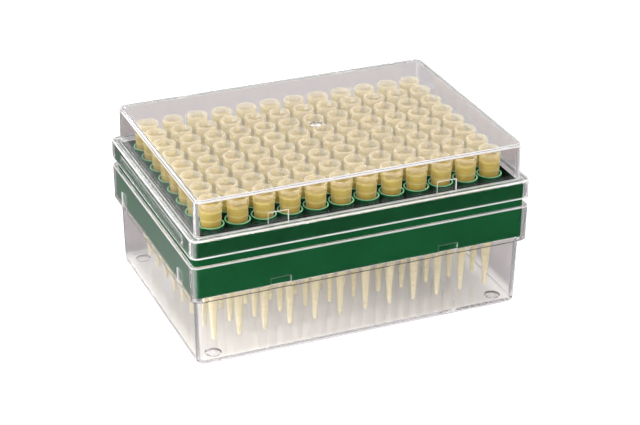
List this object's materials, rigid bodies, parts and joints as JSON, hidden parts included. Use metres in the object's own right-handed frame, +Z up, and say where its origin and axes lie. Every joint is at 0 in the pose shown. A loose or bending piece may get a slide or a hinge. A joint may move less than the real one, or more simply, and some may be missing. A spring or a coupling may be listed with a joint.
{
  "type": "box of pipette tips",
  "caption": "Clear plastic box with a lift-off lid and a green rack that carries a full grid of hollow tapered pipette tips.",
  "frame": {"origin": "middle of the base's underside, on the surface that the box stands on", "axes": "+X along the twelve columns of tips, +Y along the eight rows away from the front, +Z up"},
  "size_m": [0.12, 0.0858, 0.0595],
  "materials": {
    "clear_plastic": "clear gloss moulding",
    "green_plastic": "opaque satin moulding",
    "tip_plastic": "translucent satin moulding"
  },
  "bodies": {
    "box": {"base": "clear_plastic", "tip_rack": "green_plastic", "tips_column_01": "tip_plastic", "tips_column_02": "tip_plastic", "tips_column_03": "tip_plastic", "tips_column_04": "tip_plastic", "tips_column_05": "tip_plastic", "tips_column_06": "tip_plastic", "tips_column_07": "tip_plastic", "tips_column_08": "tip_plastic", "tips_column_09": "tip_plastic", "tips_column_10": "tip_plastic", "tips_column_11": "tip_plastic", "tips_column_12": "tip_plastic"},
    "lid": {"lid": "clear_plastic"}
  },
  "joints": [
    {"name": "lid_lift", "type": "slide", "parent": "box", "child": "lid", "axis": [0, 0, 1], "range_m": [0, 0.03]}
  ]
}
